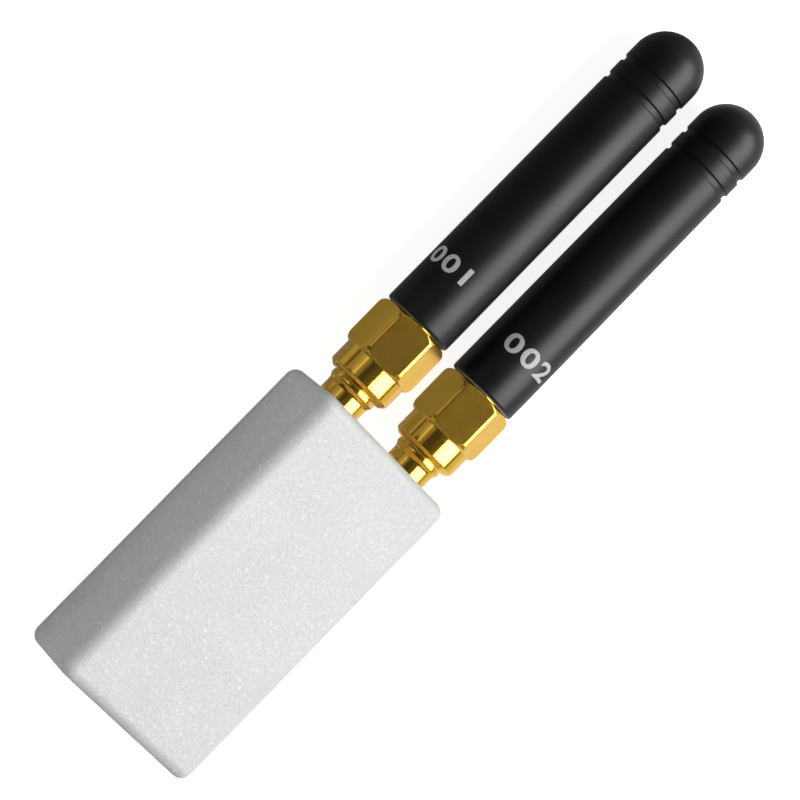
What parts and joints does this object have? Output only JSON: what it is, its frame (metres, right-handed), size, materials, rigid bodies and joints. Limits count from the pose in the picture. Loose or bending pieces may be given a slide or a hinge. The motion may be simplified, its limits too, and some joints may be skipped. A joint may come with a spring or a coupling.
{
  "type": "dual antenna radio receiver",
  "caption": "Small moulded radio receiver case with stub antennas for two bands, each screwed on a coaxial jack in its end.",
  "frame": {"origin": "middle of the case's flat back face", "axes": "+X along the antennas towards their tips, +Z out of the front face, +Y towards the 433 MHz antenna"},
  "size_m": [0.0939, 0.0204, 0.012],
  "materials": {
    "case_plastic": "fine matte texture, white",
    "cover_plastic": "satin black",
    "gold_brass": "polished gold plating",
    "plain_brass": "drawn wire",
    "insulator": "smooth white",
    "board": "green solder mask",
    "shield_metal": "tinned",
    "spring_metal": "spring temper",
    "chip": "moulded black",
    "capacitor": "bare ceramic"
  },
  "bodies": {
    "receiver": {"front_shell": "case_plastic", "rear_cover": "case_plastic", "main_board": "board", "radio_shield_433": "shield_metal", "radio_shield_2400": "shield_metal", "radio_chip_433": "chip", "radio_chip_2400": "chip", "controller_chip": "chip", "crystal": "shield_metal", "voltage_regulator": "chip", "capacitors": "capacitor", "usb_shell": "shield_metal", "usb_tongue": "chip", "jack_body_433": "gold_brass", "jack_insulator_433": "insulator", "jack_contact_433": "gold_brass", "jack_body_2400": "gold_brass", "jack_insulator_2400": "insulator", "jack_contact_2400": "gold_brass"},
    "antenna_433": {"plug_body_433": "gold_brass", "plug_insulator_433": "insulator", "plug_pin_433": "gold_brass", "retaining_ring_433": "spring_metal", "antenna_cover_433": "cover_plastic", "radiator_433": "plain_brass"},
    "nut_433": {"coupling_nut_433": "gold_brass"},
    "antenna_2400": {"plug_body_2400": "gold_brass", "plug_insulator_2400": "insulator", "plug_pin_2400": "gold_brass", "retaining_ring_2400": "spring_metal", "antenna_cover_2400": "cover_plastic", "radiator_2400": "plain_brass"},
    "nut_2400": {"coupling_nut_2400": "gold_brass"}
  },
  "joints": [
    {"name": "antenna_433_slide", "type": "slide", "parent": "receiver", "child": "antenna_433", "axis": [1, 0, 0], "range_m": [0, 0.00423]},
    {"name": "nut_433_turn", "type": "hinge", "parent": "antenna_433", "child": "nut_433", "pos_m": [0.0272, 0.0057, 0.006], "axis": [1, 0, 0], "range_deg": [0, 2161]},
    {"name": "antenna_2400_slide", "type": "slide", "parent": "receiver", "child": "antenna_2400", "axis": [1, 0, 0], "range_m": [0, 0.00423]},
    {"name": "nut_2400_turn", "type": "hinge", "parent": "antenna_2400", "child": "nut_2400", "pos_m": [0.0272, -0.0057, 0.006], "axis": [1, 0, 0], "range_deg": [0, 2161]}
  ],
  "couplings": [
    {"joint": "nut_433_turn", "follows": "antenna_433_slide", "rad_per_m": 8904.7},
    {"joint": "nut_2400_turn", "follows": "antenna_2400_slide", "rad_per_m": 8904.7}
  ]
}
